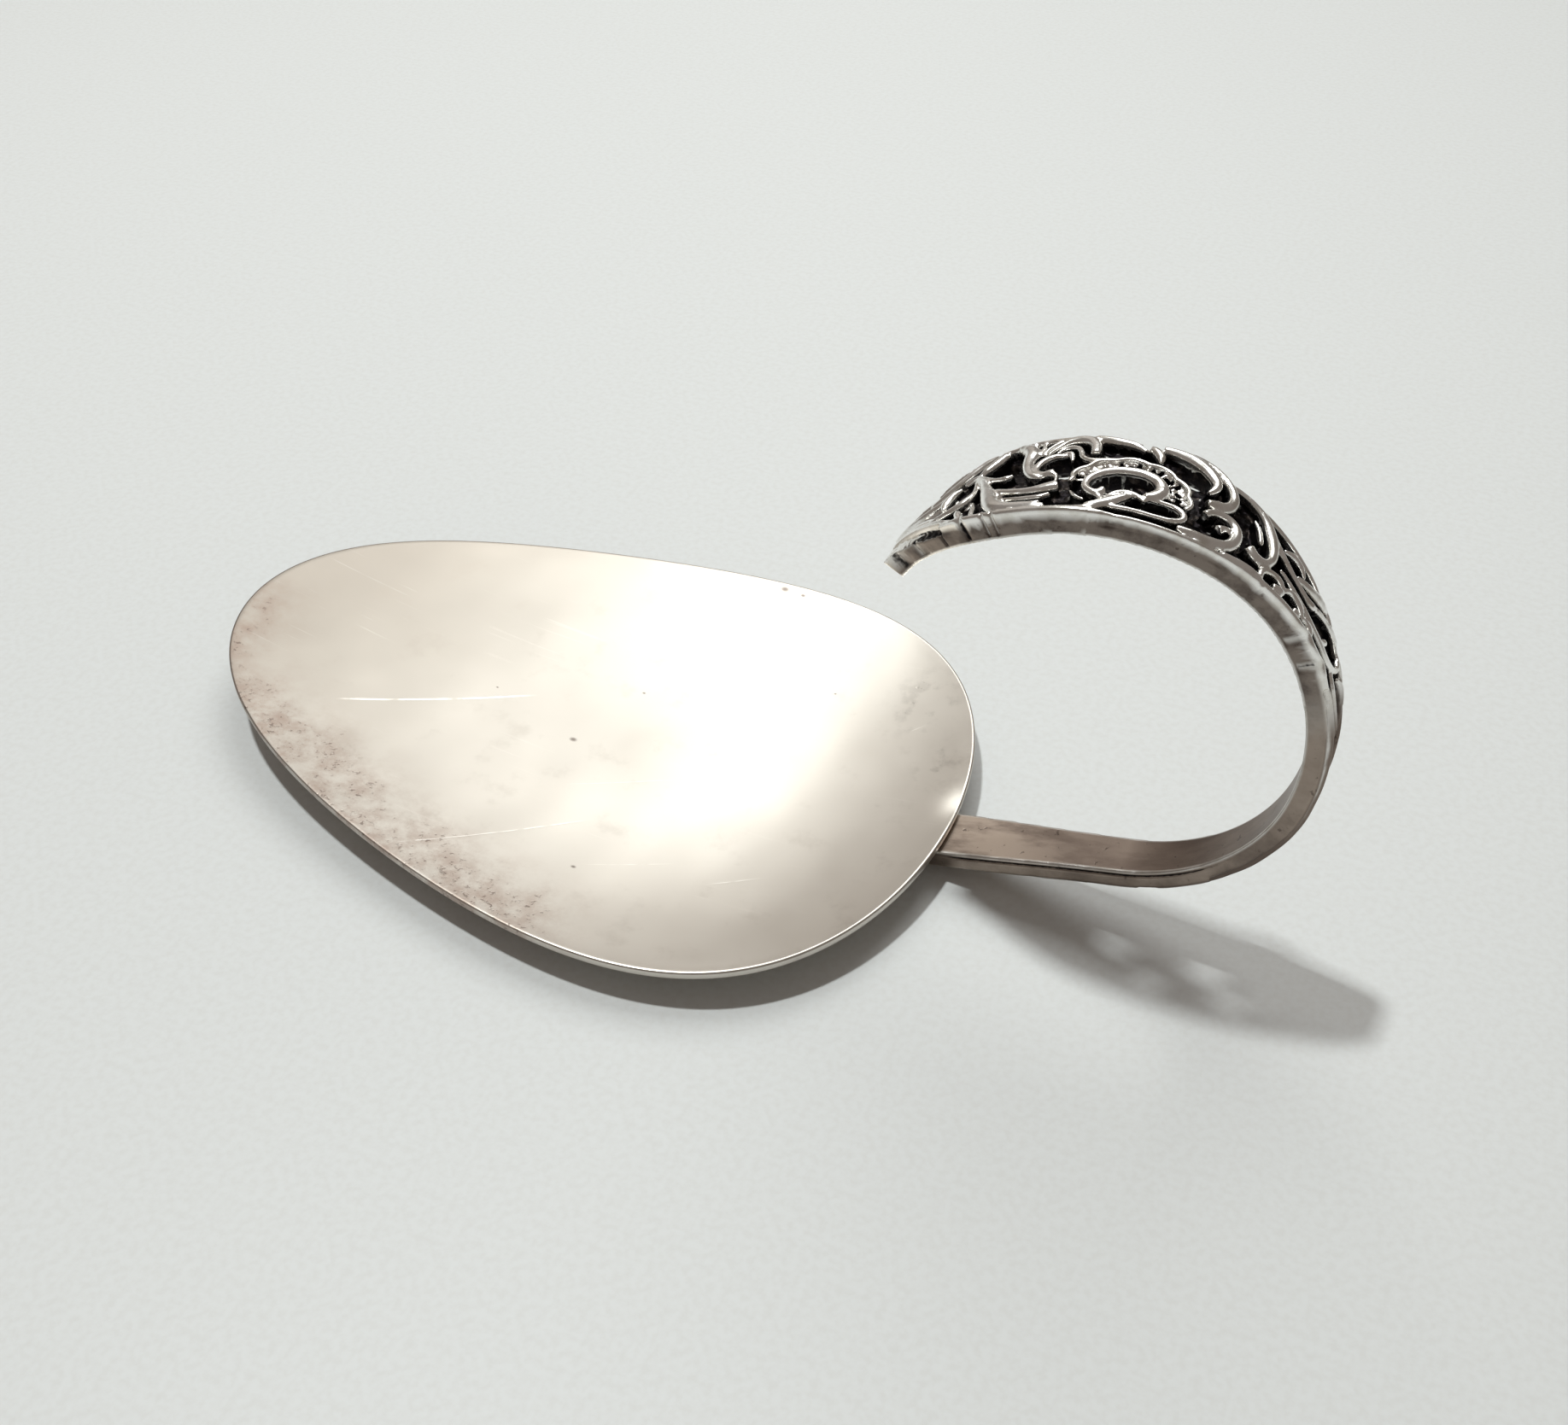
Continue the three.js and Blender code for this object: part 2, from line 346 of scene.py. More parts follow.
# Scrolls of the head. Each is a line of (s, y, half width) points that its ridge runs through.
SCROLLS = (
    # ring round the middle opening, with a curled foot and a blunt end
    ((53.35, -1.5, 0.2), (53.5, -1.95, 0.2), (54.05, -1.75, 0.2), (54.35, -1.05, 0.2), (54.1, -0.2, 0.21),
     (53.4, 0.42, 0.23), (52.4, 0.75, 0.25), (51.5, 0.72, 0.26), (50.85, 0.3, 0.3), (50.6, -0.4, 0.36),
     (50.85, -1.05, 0.33), (51.25, -1.4, 0.22)),
    ((53.6, -2.0, 0.16), (53.2, -2.45, 0.1), (52.95, -3.0, 0.08)),
    # leaf under the ring
    ((51.1, -1.75, 0.1), (51.6, -1.45, 0.14), (52.2, -1.4, 0.16), (52.75, -1.75, 0.14), (53.05, -2.3, 0.1)),
    ((51.9, -1.65, 0.12), (52.25, -2.0, 0.24), (52.7, -2.55, 0.3), (53.2, -3.05, 0.28), (53.8, -3.4, 0.16)),
    # curl round the long lower opening
    ((51.2, -1.5, 0.08), (50.2, -1.3, 0.12), (49.4, -1.4, 0.15), (49.05, -1.9, 0.17), (49.35, -2.45, 0.15),
     (50.3, -2.75, 0.12), (51.4, -2.85, 0.12), (52.6, -3.0, 0.14)),
    # curl beside it, with a pearl inside
    ((48.2, -0.65, 0.2), (47.95, -0.2, 0.2), (47.3, 0.1, 0.2), (46.7, -0.05, 0.22), (46.35, -0.55, 0.27),
     (46.3, -1.3, 0.31), (46.6, -2.1, 0.32), (47.3, -2.6, 0.3), (48.2, -2.8, 0.22), (49.2, -2.95, 0.16)),
    ((46.75, -0.6, 0.12), (47.1, -0.95, 0.18), (47.3, -1.25, 0.25)),
    # lines of the lower left opening
    ((53.35, -2.3, 0.12), (53.05, -2.8, 0.16), (53.3, -3.3, 0.16), (53.9, -3.6, 0.15), (54.9, -3.75, 0.14),
     (55.9, -3.75, 0.1)),
    ((55.0, -1.8, 0.06), (54.65, -2.3, 0.09), (54.05, -2.65, 0.06)),
    # far bar and the leaf between it and the next one
    ((55.1, 3.9, 0.2), (53.9, 3.7, 0.25), (52.9, 3.5, 0.2), (52.25, 3.2, 0.1)),
    ((51.3, 2.35, 0.1), (51.45, 2.85, 0.24), (51.75, 3.3, 0.26), (52.1, 3.65, 0.14)),
    # double bar that turns in to a pearl
    ((51.5, 3.75, 0.2), (50.4, 3.75, 0.3), (49.4, 3.5, 0.33), (48.65, 3.0, 0.3), (48.25, 2.4, 0.25),
     (48.3, 1.8, 0.19), (48.5, 1.4, 0.12)),
    ((50.9, 4.12, 0.12), (49.5, 4.0, 0.16), (48.4, 3.6, 0.18), (47.7, 3.0, 0.2), (47.25, 2.3, 0.24),
     (47.15, 1.5, 0.3), (47.4, 0.9, 0.33), (47.95, 0.62, 0.27), (48.35, 0.4, 0.22)),
    # plume
    ((57.5, 2.4, 0.08), (57.0, 3.2, 0.14), (56.3, 3.75, 0.24), (55.5, 3.75, 0.29), (55.0, 3.3, 0.28),
     (54.8, 2.7, 0.26), (54.7, 2.15, 0.24)),
    ((57.0, 2.5, 0.07), (56.5, 3.0, 0.12), (55.9, 2.95, 0.13), (55.55, 2.45, 0.14), (55.35, 1.95, 0.14),
     (54.9, 1.55, 0.14), (54.35, 1.6, 0.12), (54.0, 1.8, 0.06)),
    ((57.8, 2.5, 0.07), (57.5, 3.3, 0.11), (56.9, 3.95, 0.14), (56.1, 4.15, 0.12)),
    ((56.6, 2.35, 0.08), (56.1, 2.25, 0.15), (55.9, 1.85, 0.13), (55.8, 1.5, 0.06)),
    # curl round the left opening
    ((56.3, 2.05, 0.1), (56.9, 2.02, 0.16), (57.4, 1.6, 0.18), (57.62, 0.95, 0.18), (57.45, 0.3, 0.17),
     (56.95, -0.05, 0.17), (56.4, 0.05, 0.24)),
    ((56.35, 0.0, 0.14), (56.15, -0.4, 0.1), (56.1, -0.85, 0.05)),
    # broad leaf from the far edge down to the curl
    ((59.5, 3.8, 0.24), (58.9, 3.4, 0.44), (58.5, 2.7, 0.42), (58.4, 1.8, 0.34), (58.2, 1.0, 0.3),
     (57.9, 0.3, 0.26), (57.45, -0.2, 0.2), (56.9, -0.3, 0.1)),
    ((58.1, 3.95, 0.1), (57.95, 3.2, 0.11), (58.05, 2.4, 0.07)),
    # leaf from the knot near the tip: its cross rib, its long lower rib and the fingers off it
    ((62.5, 1.45, 0.12), (61.7, 1.6, 0.17), (61.1, 1.2, 0.16), (60.5, 0.75, 0.14), (59.9, 0.42, 0.13),
     (59.3, 0.3, 0.15), (58.95, 0.55, 0.08)),
    ((61.5, 1.35, 0.14), (60.9, 0.6, 0.2), (60.35, -0.4, 0.3), (59.85, -1.4, 0.42), (59.35, -2.4, 0.52),
     (58.8, -3.1, 0.5), (58.0, -3.45, 0.36), (57.0, -3.5, 0.26), (55.9, -3.55, 0.14)),
    ((59.9, -0.9, 0.12), (59.0, -1.4, 0.17), (58.0, -1.75, 0.19), (57.0, -1.8, 0.2), (56.25, -1.55, 0.3),
     (55.75, -1.35, 0.34)),
    ((59.2, -2.1, 0.08), (58.3, -2.4, 0.1), (57.2, -2.55, 0.12), (56.5, -2.5, 0.13), (55.95, -2.2, 0.1)),
    ((58.6, -2.9, 0.07), (57.6, -3.0, 0.08), (56.9, -3.1, 0.09), (56.3, -2.95, 0.08)),
    # ribs round the opening by the knot
    ((61.6, 1.2, 0.1), (61.3, 0.3, 0.11), (61.15, -0.5, 0.14), (61.35, -1.25, 0.2), (62.0, -1.75, 0.19),
     (62.9, -1.95, 0.16), (64.0, -1.85, 0.1)),
    ((62.6, 1.1, 0.1), (63.0, 0.5, 0.22), (63.2, -0.3, 0.28), (63.0, -1.1, 0.14)),
    ((60.75, -1.7, 0.08), (60.45, -2.5, 0.12), (60.3, -3.2, 0.13), (60.1, -3.9, 0.1)),
    ((61.6, -2.3, 0.1), (61.3, -2.8, 0.22), (61.0, -3.4, 0.18), (60.7, -3.8, 0.1)),
    ((60.2, 3.5, 0.16), (60.7, 2.9, 0.28), (61.2, 2.2, 0.22), (61.6, 1.75, 0.12)),
    ((60.6, 3.85, 0.12), (61.6, 3.35, 0.2), (62.5, 2.6, 0.2), (63.6, 1.7, 0.16), (65.0, 1.1, 0.1)),
    # long ribs that run together at the tip
    ((61.6, -3.3, 0.12), (63.0, -2.6, 0.17), (64.5, -1.95, 0.19), (66.0, -1.35, 0.18), (67.6, -0.85, 0.13)),
    ((62.8, -2.1, 0.07), (64.3, -1.25, 0.11), (66.0, -0.65, 0.13), (67.8, -0.3, 0.1)),
    ((63.6, 0.7, 0.09), (64.8, 0.15, 0.17), (66.4, 0.1, 0.2), (67.9, 0.15, 0.16)),
    ((64.3, 1.6, 0.1), (65.6, 1.15, 0.14), (66.8, 0.85, 0.13), (67.9, 0.65, 0.1)),
    # scroll on the far shoulder, its bright inner line and its pearl
    ((47.9, 3.2, 0.1), (46.9, 3.1, 0.13), (46.0, 2.8, 0.16), (45.3, 2.35, 0.22), (44.7, 1.65, 0.29),
     (44.3, 0.9, 0.3), (44.1, 0.1, 0.26), (44.15, -0.55, 0.23), (44.45, -1.05, 0.25), (45.0, -1.2, 0.28),
     (45.5, -0.85, 0.26)),
    ((45.75, 1.75, 0.07), (45.3, 1.1, 0.12), (45.05, 0.5, 0.13), (44.9, 0.2, 0.08)),
    # the two long spines
    ((45.0, 2.35, 0.1), (44.3, 1.65, 0.13), (43.6, 1.0, 0.15), (42.8, 0.6, 0.14), (42.0, 0.4, 0.13),
     (41.2, 0.3, 0.14), (40.6, 0.35, 0.2), (40.35, 0.5, 0.14)),
    ((43.4, -0.1, 0.08), (42.4, -0.4, 0.12), (41.3, -0.6, 0.14), (40.2, -0.8, 0.17), (39.0, -0.8, 0.18),
     (38.0, -0.75, 0.18), (37.2, -0.45, 0.17), (36.6, 0.05, 0.17), (36.3, 0.7, 0.16), (36.5, 1.25, 0.12)),
    ((38.95, -0.7, 0.12), (38.65, -0.3, 0.2), (38.4, -0.05, 0.14)),
    # leaf on the far shoulder
    ((42.3, 0.8, 0.1), (41.3, 1.05, 0.24), (40.4, 1.45, 0.28), (39.4, 1.65, 0.14)),
    ((43.6, 1.5, 0.1), (43.0, 1.75, 0.18), (42.2, 1.75, 0.14), (41.7, 1.4, 0.07)),
    ((40.6, 0.5, 0.12), (39.9, 0.8, 0.15), (39.2, 1.15, 0.13), (38.3, 1.4, 0.15), (37.4, 1.55, 0.12)),
    # three small lobes and their pearl on the near edge
    ((44.3, -2.4, 0.14), (44.35, -1.75, 0.17), (43.9, -1.2, 0.16), (43.2, -1.05, 0.16), (42.75, -1.4, 0.12)),
    ((42.75, -1.4, 0.12), (42.4, -0.95, 0.16), (41.85, -0.85, 0.16), (41.3, -1.0, 0.16), (41.0, -1.4, 0.13)),
    ((41.0, -1.4, 0.12), (40.6, -1.2, 0.15), (40.1, -1.3, 0.17), (39.9, -1.75, 0.15)),
    ((43.5, -1.95, 0.16), (43.0, -1.8, 0.22), (42.7, -1.8, 0.14)),
    ((41.8, -1.7, 0.14), (41.5, -1.65, 0.18), (41.2, -1.65, 0.12)),
    ((46.6, -2.9, 0.14), (45.8, -2.75, 0.2), (45.1, -2.6, 0.24), (44.4, -2.55, 0.2), (43.9, -2.75, 0.14)),
    # lines that die away down the stem
    ((37.0, -0.4, 0.1), (36.0, -0.7, 0.14), (34.8, -0.7, 0.13), (33.4, -0.5, 0.1), (32.0, -0.4, 0.06)),
    ((35.8, 0.4, 0.1), (34.9, 0.95, 0.18), (34.0, 1.0, 0.16), (33.0, 0.6, 0.1), (31.8, 0.5, 0.06)),
)

# Openings cut right through: place, half length, half width, turn in degrees.
OPENINGS = (
    (52.6, -0.2, 1.35, 0.66, 6), (49.7, 2.7, 1.5, 0.6, -12), (56.6, 1.5, 1.1, 0.65, 15),
    (50.7, -2.1, 1.4, 0.42, 3), (48.6, -1.5, 0.85, 0.5, -20), (58, -0.7, 1.3, 0.45, 15),
    (60.3, 2.3, 0.7, 0.85, -20), (55.4, -2.5, 1.15, 0.38, -5),
)


# Ridges along the edges of the head and the stem: side (1 far, -1 near), from, to, distance in from the edge
# and half width.
BORDERS = (
    (-1, 62.5, 52.0, 0.2, 0.18), (-1, 53.0, 46.0, 0.16, 0.12), (-1, 47.0, 36.5, 0.2, 0.18),
    (1, 52.6, 65.0, 0.2, 0.14), (1, 37.0, 48.5, 0.2, 0.12), (-1, 37.6, 2.0, 0.36, 0.1),
    (1, 37.6, 2.0, 0.36, 0.1),
)

# Cuts and steps across the sides near the tip and below the head: place, half breadth and how dark each is
# painted, the darkness being painted shade in the notch.
SIDE_CUTS = (
    (38.2, 0.5, 0.25), (40.2, 0.45, 0.35), (58.7, 0.07, 0.4), (59.3, 0.07, 0.35), (60.8, 0.16, 1.0),
    (62.7, 0.1, 0.9), (65.2, 0.5, 0.3), (67.5, 0.6, 0.8),
)


# ---------------------------------------------------------------- geometry nodes


def node_group(name, inputs):
    """A geometry node tree with a geometry in and out, the named inputs and a finish; and its group input."""
    tree = bpy.data.node_groups.new(name, "GeometryNodeTree")
    tree.interface.new_socket("Geometry", in_out="INPUT", socket_type="NodeSocketGeometry")
    tree.interface.new_socket("Geometry", in_out="OUTPUT", socket_type="NodeSocketGeometry")
    for label, kind in (*inputs, ("Finish", "Material")):
        tree.interface.new_socket(label, in_out="INPUT", socket_type="NodeSocket" + kind)
    return tree, put(tree, "NodeGroupInput")


def finish_group(tree, start, shape):
    """Every tree ends by giving the finish and making its instances real."""
    finish = {"Geometry": shape, "Material": start.outputs["Finish"]}
    finished = put(tree, "GeometryNodeSetMaterial", finish)
    real = put(tree, "GeometryNodeRealizeInstances", {"Geometry": finished.outputs[0]})
    put(tree, "NodeGroupOutput", {"Geometry": real.outputs[0]})


def moved(tree, shape, **how):
    """The shape with its points given an Offset or a Position."""
    return put(tree, "GeometryNodeSetPosition", {"Geometry": shape, **how}).outputs[0]


def place_parts(tree):
    """The x, y and z of each point."""
    place = put(tree, "GeometryNodeInputPosition").outputs[0]
    return put(tree, "ShaderNodeSeparateXYZ", {0: place}).outputs


def spaced(tree, start, step):
    """The curves that come in, with points a step apart."""
    links = {"Curve": start.outputs["Geometry"], "Length": start.outputs[step]}
    return put(tree, "GeometryNodeResampleCurve", links, mode="LENGTH").outputs[0]


LEGS = 9.0  # how far a ridge's sides run down, in half widths
ROUND = 0.62  # how much of a ridge's half width lies above the middle of its section
FULL = 0.24  # half width in millimetres from which a ridge reaches the crest


def ridge_tree():
    """Sweeps a round-topped, steep-sided ridge along flat curves, as wide as each point's radius."""
    inputs = (("Step", "Float"), ("Crest", "Float"), ("Foot", "Float"), ("Spread", "Float"))
    tree, start = node_group("Scroll ridge", inputs)
    ring = put(tree, "GeometryNodeCurvePrimitiveCircle", {"Resolution": 16, "Radius": 1.0}, mode="RADIUS")
    low = maths(tree, "MULTIPLY", maths(tree, "MAXIMUM", place_parts(tree)[1], 0.0), LEGS)
    section = moved(tree, ring.outputs[0], Offset=combined(tree, y=low))

    upright = put(tree, "GeometryNodeSetCurveNormal", {"Curve": spaced(tree, start, "Step")}, mode="Z_UP")
    drawn = put(tree, "GeometryNodeInputRadius").outputs[0]
    radius = maths(tree, "MULTIPLY", drawn, start.outputs["Spread"])
    # a broad ridge reaches the crest, a thin one stays a little lower
    top = maths(tree, "SUBTRACT", start.outputs["Crest"], maths(tree, "MULTIPLY", radius, ROUND))
    thin = maths(tree, "MAXIMUM", maths(tree, "SUBTRACT", FULL, radius), 0.0)
    raised = moved(tree, upright.outputs[0], Offset=combined(tree, z=maths(tree, "SUBTRACT", top, thin)))
    sweep = {"Curve": raised, "Profile Curve": section, "Scale": radius, "Fill Caps": True}
    swept = put(tree, "GeometryNodeCurveToMesh", sweep).outputs[0]
    x, y, z = place_parts(tree)
    footed = combined(tree, x, y, maths(tree, "MAXIMUM", z, start.outputs["Foot"]))
    finish_group(tree, start, moved(tree, swept, Position=footed))
    return tree


def pearl_tree():
    """Sets small round pearls along curves, each a little larger or smaller than the next."""
    inputs = (("Pitch", "Float"), ("Pearl", "Float"), ("Height", "Float"), ("Seed", "Int"))
    tree, start = node_group("Pearl rows", inputs)
    seed = start.outputs["Seed"]
    bounds = {"Min": (-0.07, -0.07, -0.05), "Max": (0.07, 0.07, 0.05), "Seed": seed}
    stray = put(tree, "FunctionNodeRandomValue", bounds, data_type="FLOAT_VECTOR").outputs[0]
    away = vector(tree, "ADD", stray, combined(tree, z=start.outputs["Height"]))
    row = moved(tree, spaced(tree, start, "Pitch"), Offset=away)
    pearl = put(tree, "GeometryNodeMeshIcoSphere", {"Radius": start.outputs["Pearl"], "Subdivisions": 2})
    grown = put(tree, "FunctionNodeRandomValue", {2: 0.65, 3: 1.25, "Seed": seed}, data_type="FLOAT")
    setting = {"Points": row, "Instance": pearl.outputs[0], "Scale": grown.outputs[1]}
    finish_group(tree, start, put(tree, "GeometryNodeInstanceOnPoints", setting).outputs[0])
    return tree


def grow(item, tree, values):
    """Runs a node tree on an object and returns the result as a plain mesh; the object is used up."""
    modifier = item.modifiers.new(tree.name, "NODES")
    modifier.node_group = tree
    for socket in tree.interface.items_tree:
        if socket.item_type == "SOCKET" and socket.in_out == "INPUT" and socket.name in values:
            modifier[socket.identifier] = values[socket.name]
    mesh = settled(item)
    bpy.data.objects.remove(item)
    return mesh


def settled(item):
    """The object's mesh with its modifiers applied."""
    bpy.context.view_layer.update()
    depsgraph = bpy.context.evaluated_depsgraph_get()
    return bpy.data.meshes.new_from_object(item.evaluated_get(depsgraph))


# ---------------------------------------------------------------- pieces


def ride_and_stand(item, node):
    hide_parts(node)
    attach(item, "root")


def bowl_material(settings):
    """Worn sterling sheet, beaten, rubbed to a satin and lightly tarnished: a broad soft gleam crossed by a
    few fine scratches, with brown-pink bloom and pits along the tip and the near rim, as damp leaves them."""
    material, tree, surface, at = new_material("satin_worn_silver")
    cloud, times = tools(tree, at)
    x, y, _z = put(tree, "ShaderNodeSeparateXYZ", {0: at}).outputs
    share = attribute(tree, "share")

    def spot(px, py, wide, tall):
        """1 at a place in millimetres, falling to 0 at its edge."""
        off = vector(tree, "SUBTRACT", at, (px * MM, py * MM, 0))
        scaled = vector(tree, "MULTIPLY", off, (1 / wide, 1 / tall, 0))
        return ramp(tree, vector(tree, "LENGTH", scaled), MM, 0.2 * MM)

    # an even film of dullness that thickens towards the tip
    lean = maths(tree, "SUBTRACT", x, times(y, 0.55))
    film = ramp(tree, maths(tree, "ADD", lean, times(cloud(60, 3.0), 0.010)), 0.000, -0.036)
    # bloom of tarnish: a band at the tip and along the near rim, broken up by cloudy patches some 5 mm across
    tip = times(ramp(tree, x, -0.032, -0.040), ramp(tree, share, 0.80, 1.0), ramp(tree, y, 0.004, -0.003))
    near = times(ramp(tree, y, -0.004, -0.013), ramp(tree, share, 0.62, 0.97), ramp(tree, x, 0.003, -0.006))
    patches = ramp(tree, cloud(300, 7.0, 0.7), 0.36, 0.66)
    bloom = times(maths(tree, "MAXIMUM", times(tip, 0.9), near), patches)
    stains = times(ramp(tree, cloud(300, 5.0, 0.62, shift=(0.3, 0.1, 0)), 0.55, 0.75), 0.22)
    where_grey = maths(tree, "MAXIMUM", spot(12.8, 12.4, 4.2, 5.5), spot(16.5, 6.0, 3.0, 4.0))
    grey = times(where_grey, ramp(tree, cloud(700, 4.0), 0.5, 0.66))
    # pits about 0.2 mm across gather in the bloom and in the grey stains
    specks = ramp(tree, cloud(2500, 3.0, 0.6), 0.56, 0.68)
    pits = times(specks, ramp(tree, maths(tree, "ADD", bloom, times(grey, 0.5)), 0.18, 0.6))
    lone = [spot(px, py, r, r * 0.7) for px, py, r in LONE_PITS]
    marks = lone[0]
    for mark in lone[1:]:
        marks = maths(tree, "MAXIMUM", marks, mark)

    # hairline scratches in three directions, drawn 0.05 to 0.1 mm wide so that they show
    lines = None
    for turn, shift in ((0.35, 0.0), (-0.2, 0.4), (1.2, 0.9)):
        streak = cloud(60, 2.0, 0.5, turn, (0.9, 40, 1), (shift, shift, 0))
        hair = ramp(tree, streak, 0.67, 0.71)
        lines = hair if lines is None else maths(tree, "MAXIMUM", lines, hair)
    few = times(lines, ramp(tree, cloud(150, 2.0, shift=(0.7, 0.2, 0)), 0.52, 0.66), 0.08)

    # the few long scratches, each a straight line from one point to another, cut into the relief and painted
    # near-white as a painted highlight where they catch the light
    deep = None
    for (ax, ay), (bx, by), width, strength in LONG_SCRATCHES:
        length = math.hypot(bx - ax, by - ay)
        ux, uy = (bx - ax) / length, (by - ay) / length
        off = vector(tree, "SUBTRACT", at, (ax * MM, ay * MM, 0))
        along = vector(tree, "DOT_PRODUCT", off, (ux, uy, 0))
        aside = maths(tree, "ABSOLUTE", vector(tree, "DOT_PRODUCT", off, (-uy, ux, 0)))
        start, end = ramp(tree, along, 0.0, 2.0 * MM), ramp(tree, along, length * MM, (length - 3.0) * MM)
        broken = ramp(tree, cloud(800, 2.0, shift=(ax, ay, 0)), 0.3, 0.55)
        line = times(ramp(tree, aside, width * MM, width * 0.3 * MM), start, end, broken, strength)
        deep = line if deep is None else maths(tree, "MAXIMUM", deep, line)
    scratched = maths(tree, "MAXIMUM", deep, few)

    tone = blend(tree, times(cloud(110, 4.0, 0.6, shift=(1, 2, 0)), 0.30), settings.silver, linear("c4bcb1"))
    tone = blend(tree, times(film, 0.9), tone, linear("918980"))
    tone = blend(tree, stains, tone, linear("9d948a"))
    tone = blend(tree, times(bloom, 0.6), tone, settings.tarnish)
    tone = blend(tree, times(grey, 0.22), tone, linear("7d7872"))
    tone = blend(tree, times(maths(tree, "MAXIMUM", times(pits, 0.7), marks), 0.75), tone, linear("5e4f48"))
    # scratches are painted near-white: a painted highlight along each
    tone = blend(tree, times(scratched, 0.9), tone, linear("fbf9f4"))
    rough = maths(tree, "ADD", 0.28, times(cloud(340, 5.0, 0.65, shift=(2, 1, 0)), 0.08))
    rough = maths(tree, "ADD", rough, maths(tree, "ADD", times(film, 0.08), times(bloom, 0.16)))
    height = maths(tree, "ADD", times(cloud(4200, 2.0, 0.5), 0.08), times(cloud(420, 4.0), 0.3))
    height = maths(tree, "SUBTRACT", height, maths(tree, "ADD", pits, times(scratched, 0.6)))
    finish_surface(tree, surface, tone, rough, height, 0.3, 0.03 * MM)
    return material


# Long scratches inside the bowl: from and to in millimetres, width and strength.
LONG_SCRATCHES = (
    ((-28.6, -6.9), (-15.6, 1.9), 0.13, 1.0),
    ((-15.8, -18.0), (-4.8, -8.0), 0.07, 0.55),
    ((5.2, -11.0), (9.4, -8.3), 0.06, 0.6),
    ((-3.5, -13.0), (3.0, -9.5), 0.05, 0.35),
    ((12.0, 8.4), (14.2, 10.6), 0.07, 0.8),
    ((-9.0, -6.0), (-1.0, -1.5), 0.05, 0.3),
)
# Single pits inside the bowl: place and radius in millimetres.
LONE_PITS = (
    (-10.8, -1.3, 0.42), (-8.4, 5.7, 0.2), (-3.7, -13.4, 0.28), (-19.0, 1.0, 0.16), (-2.9, 20.4, 0.5),
    (-1.2, 20.3, 0.3), (5.6, 11.5, 0.15),
)


# The dent beside the heel, where the tongue was hammered home: its place, half breadths and depth.
DENT_X, DENT_Y, DENT_LONG, DENT_WIDE, DENT_DEEP = 20.0 * MM, 2.4 * MM, 1.4 * MM, 1.9 * MM, 0.3 * MM


def bowl_mesh(settings, name, material):
    around, rings = 300, 64
    a = np.arange(around) / around * 2 * math.pi
    rx, ry, rz = rim(settings, a)
    reach = np.hypot(rx, ry)
    shares = np.concatenate([np.linspace(0.02, FLAT, 7), np.linspace(FLAT, 1, rings)[1:]])
    corner = 0.22 * MM
    points, shared = [], []

    def lay(share, inset, lift):
        r = share - inset / reach
        shared.append(r)
        x, y, z = rx * r, ry * r, under(settings, r, a) + lift
        wave = np.array([noise.noise(Vector((p * 95, q * 95, 3.1))) for p, q in zip(x, y)])
        wave += 0.5 * np.array([noise.noise(Vector((p * 240, q * 240, 7.7))) for p, q in zip(x, y)])
        calm = np.clip((1.0 - r) / 0.06, 0, 1) * np.clip((r - 0.1) / 0.25, 0, 1)
        dent = DENT_DEEP * np.exp(-(((x - DENT_X) / DENT_LONG) ** 2) - ((y - DENT_Y) / DENT_WIDE) ** 2)
        z += wave * calm * settings.wave - dent * (lift > settings.sheet / 2)
        points.append(np.stack([x, y, z], axis=1))

    for share in shares[:-1]:
        lay(share, 0, 0)
    turns = np.linspace(0, math.pi / 2, 5)
    for t in turns:
        lay(1, corner * (1 - math.sin(t)), corner * (1 - math.cos(t)))
    for t in turns[::-1]:
        lay(1, corner * (1 - math.sin(t)), settings.sheet - corner * (1 - math.cos(t)))
    for share in shares[:-1][::-1]:
        lay(share, 0, settings.sheet)
    coords = np.concatenate(points)
    item = mesh_object(name, coords.tolist(), skin_faces(len(points), around), material)
    data = item.data.attributes.new("share", "FLOAT", "POINT").data
    shared = np.concatenate([np.broadcast_to(r, around) for r in shared])
    data.foreach_set("value", shared.astype(np.float32))
    return item


class SPOON_OT_bowl(bpy.types.Operator):
    """Build the beaten sheet bowl"""

    bl_idname = "spoon.bowl"
    bl_label = "Bowl"

    def execute(self, context):
        settings = context.scene.spoon_bowl
        item = bowl_mesh(settings, "beaten_bowl", bowl_material(settings))
        ride_and_stand(item, "bowl")
        return {"FINISHED"}


# ---------------------------------------------------------------- handle


